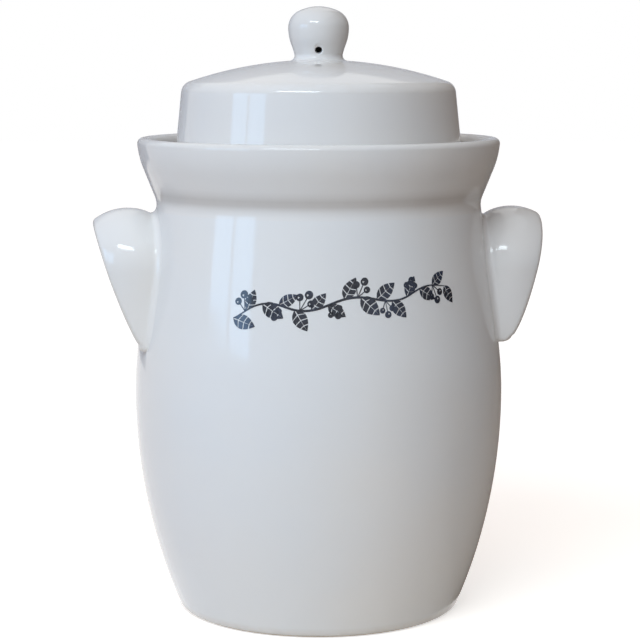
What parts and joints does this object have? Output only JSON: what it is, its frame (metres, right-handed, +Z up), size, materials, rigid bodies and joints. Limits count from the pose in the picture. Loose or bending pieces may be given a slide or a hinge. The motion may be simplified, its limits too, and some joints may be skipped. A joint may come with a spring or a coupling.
{
  "type": "water-seal stoneware crock",
  "caption": "Bellied glazed stoneware crock with two shell grips, a flared gutter collar, a domed lid with a hollow knob and two half-moon weighting stones.",
  "frame": {"origin": "middle of the foot ring, on the surface that the crock stands on", "axes": "+Z up along the pot's axis, -Y towards the front with the ornament, +X towards the right-hand grip"},
  "size_m": [0.2496, 0.2038, 0.3322],
  "materials": {
    "body_glaze": "gloss",
    "collar_glaze": "gloss",
    "handle_glaze": "gloss",
    "lid_glaze": "gloss",
    "knob_glaze": "gloss",
    "ornament_ink": "gloss",
    "bare_stone": "matte"
  },
  "bodies": {
    "crock": {"crock_body": "body_glaze", "gutter_collar": "collar_glaze", "handle_left": "handle_glaze", "handle_right": "handle_glaze"},
    "lid": {"lid_cap": "lid_glaze", "lid_knob": "knob_glaze"},
    "stone_left": {"weight_stone_left": "bare_stone"},
    "stone_right": {"weight_stone_right": "bare_stone"}
  },
  "joints": [
    {"name": "lid_lift", "type": "slide", "parent": "crock", "child": "lid", "axis": [0, 0, 1], "range_m": [0, 0.12]},
    {"name": "stone_left_lift", "type": "slide", "parent": "crock", "child": "stone_left", "axis": [0, 0, 1], "range_m": [0, 0.18]},
    {"name": "stone_right_lift", "type": "slide", "parent": "crock", "child": "stone_right", "axis": [0, 0, 1], "range_m": [0, 0.18]}
  ]
}
